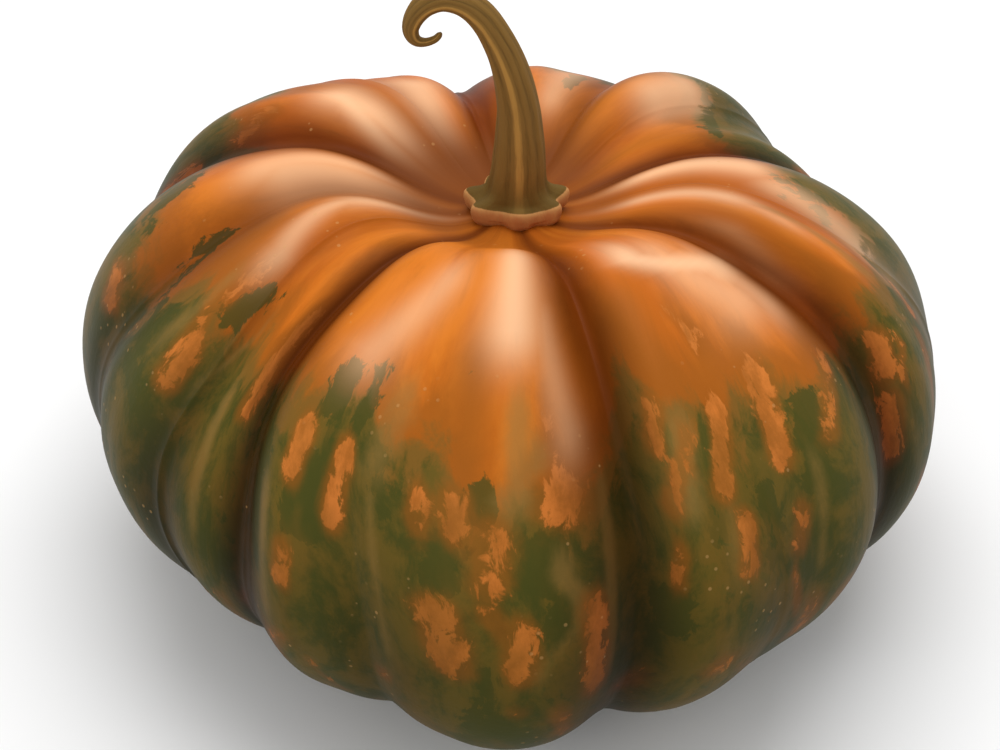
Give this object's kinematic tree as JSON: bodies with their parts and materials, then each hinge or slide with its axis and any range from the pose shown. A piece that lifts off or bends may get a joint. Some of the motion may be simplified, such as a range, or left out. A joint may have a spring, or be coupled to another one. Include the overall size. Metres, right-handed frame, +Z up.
{
  "type": "pumpkin",
  "caption": "Squat, deeply ribbed cooking pumpkin, orange over dark green, with a curled woody stem on a flared foot; rests on its flattened underside.",
  "frame": {"origin": "on the surface it rests on, under the middle of the fruit's outline", "axes": "+Z up through the crown; -Y towards the front of the fruit; the stem curls towards -X"},
  "size_m": [0.3012, 0.2982, 0.2291],
  "materials": {
    "skin": "waxy satin rind, orange over dark green",
    "stem_wood": "dry, ridged and matt"
  },
  "bodies": {
    "root": {"pumpkin_fruit": "skin", "pumpkin_stem": "stem_wood"}
  },
  "joints": []
}
